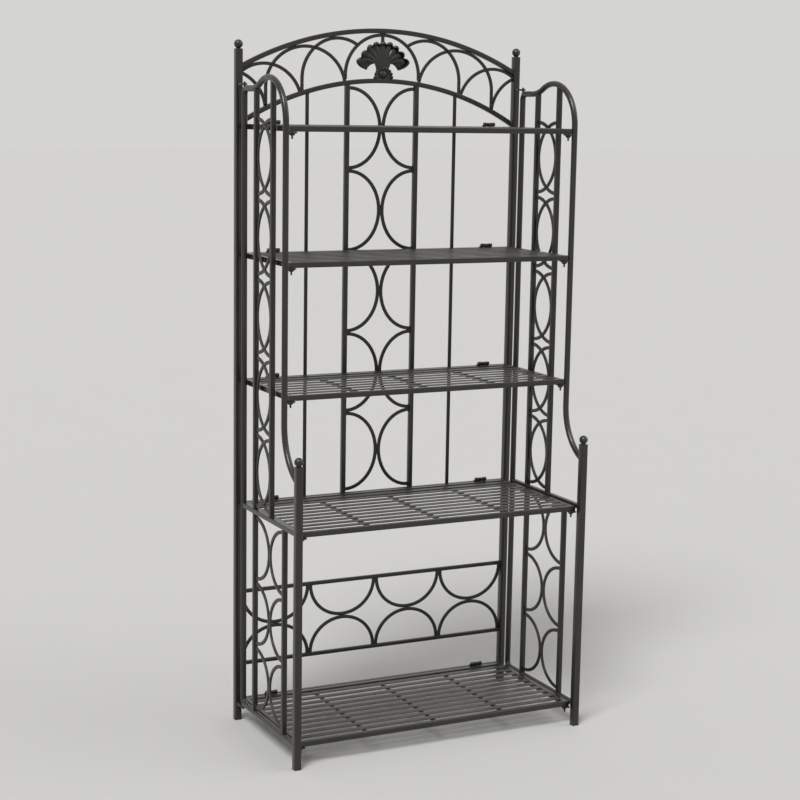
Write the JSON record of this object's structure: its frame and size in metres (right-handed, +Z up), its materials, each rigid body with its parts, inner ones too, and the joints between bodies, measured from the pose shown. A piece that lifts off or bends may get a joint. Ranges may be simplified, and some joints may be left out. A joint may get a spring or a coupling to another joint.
{
  "type": "folding bakers rack",
  "caption": "Folding etagere with an arched back panel, bent-tube side panels with scrolls, hinged slatted shelves, a shell crest and ball finials.",
  "frame": {"origin": "centre of the bounding box's base, on the floor between the four posts", "axes": "+X to the right seen from the front, +Y to the back panel, +Z up; the front faces -Y"},
  "size_m": [0.8644, 0.4454, 1.905],
  "materials": {
    "tube": "satin charcoal powder coat on steel tube",
    "scroll": "satin charcoal powder coat on flat bar",
    "slat": "satin charcoal powder coat on sheet slats",
    "casting": "charcoal coated casting with rubbed high spots",
    "tab": "black coated tab and hand screw",
    "glide": "black plastic glide"
  },
  "bodies": {
    "back_panel": {"rear_post_left": "tube", "rear_finial_left": "casting", "rear_glide_left": "glide", "thick_back_bar_left": "tube", "thin_back_bar_left": "scroll", "rear_post_right": "tube", "rear_finial_right": "casting", "rear_glide_right": "glide", "thick_back_bar_right": "tube", "thin_back_bar_right": "scroll", "outer_arch": "tube", "inner_arch": "tube", "crest_tracery": "scroll", "shell_ornament": "casting", "shell_hanger": "scroll", "back_scrolls": "scroll", "low_band_upper_rail": "scroll", "low_band_lower_rail": "scroll", "low_band_scrolls": "scroll", "back_rail_1": "tube", "back_rail_2": "tube", "back_rail_3": "tube", "back_rail_4": "tube", "back_rail_5": "tube"},
    "left_panel": {"left_front_post": "tube", "left_front_finial": "casting", "left_front_glide": "glide", "left_frame_tube": "tube", "left_side_rail": "tube", "left_upper_grille": "scroll", "left_lower_grille": "scroll", "left_shelf_tab_1": "tab", "left_shelf_tab_2": "tab", "left_shelf_tab_3": "tab", "left_shelf_tab_4": "tab", "left_shelf_tab_5": "tab"},
    "right_panel": {"right_front_post": "tube", "right_front_finial": "casting", "right_front_glide": "glide", "right_frame_tube": "tube", "right_side_rail": "tube", "right_upper_grille": "scroll", "right_lower_grille": "scroll", "right_shelf_tab_1": "tab", "right_shelf_tab_2": "tab", "right_shelf_tab_3": "tab", "right_shelf_tab_4": "tab", "right_shelf_tab_5": "tab"},
    "shelf_1": {"shelf_1_rim": "tube", "shelf_1_deck": "slat"},
    "shelf_2": {"shelf_2_rim": "tube", "shelf_2_deck": "slat"},
    "shelf_3": {"shelf_3_rim": "tube", "shelf_3_deck": "slat"},
    "shelf_4": {"shelf_4_rim": "tube", "shelf_4_deck": "slat"},
    "shelf_5": {"shelf_5_rim": "tube", "shelf_5_deck": "slat"}
  },
  "joints": [
    {"name": "shelf_1_fold", "type": "hinge", "parent": "back_panel", "child": "shelf_1", "pos_m": [0, 0.1903, 0.072], "axis": [-1, 0, 0], "range_deg": [0, 90]},
    {"name": "shelf_2_fold", "type": "hinge", "parent": "back_panel", "child": "shelf_2", "pos_m": [0, 0.1903, 0.63], "axis": [-1, 0, 0], "range_deg": [0, 50]},
    {"name": "shelf_3_fold", "type": "hinge", "parent": "back_panel", "child": "shelf_3", "pos_m": [0, 0.1903, 0.97022], "axis": [-1, 0, 0], "range_deg": [0, 90]},
    {"name": "shelf_4_fold", "type": "hinge", "parent": "back_panel", "child": "shelf_4", "pos_m": [0, 0.1903, 1.31043], "axis": [-1, 0, 0], "range_deg": [0, 90]},
    {"name": "shelf_5_fold", "type": "hinge", "parent": "back_panel", "child": "shelf_5", "pos_m": [0, 0.1903, 1.65065], "axis": [-1, 0, 0], "range_deg": [0, 90]},
    {"name": "left_panel_swing", "type": "hinge", "parent": "back_panel", "child": "left_panel", "pos_m": [-0.4205, 0.166, 0.05], "axis": [0, 0, -1], "range_deg": [0, 90]},
    {"name": "right_panel_swing", "type": "hinge", "parent": "back_panel", "child": "right_panel", "pos_m": [0.4205, 0.166, 0.05], "axis": [0, 0, 1], "range_deg": [0, 90]}
  ]
}
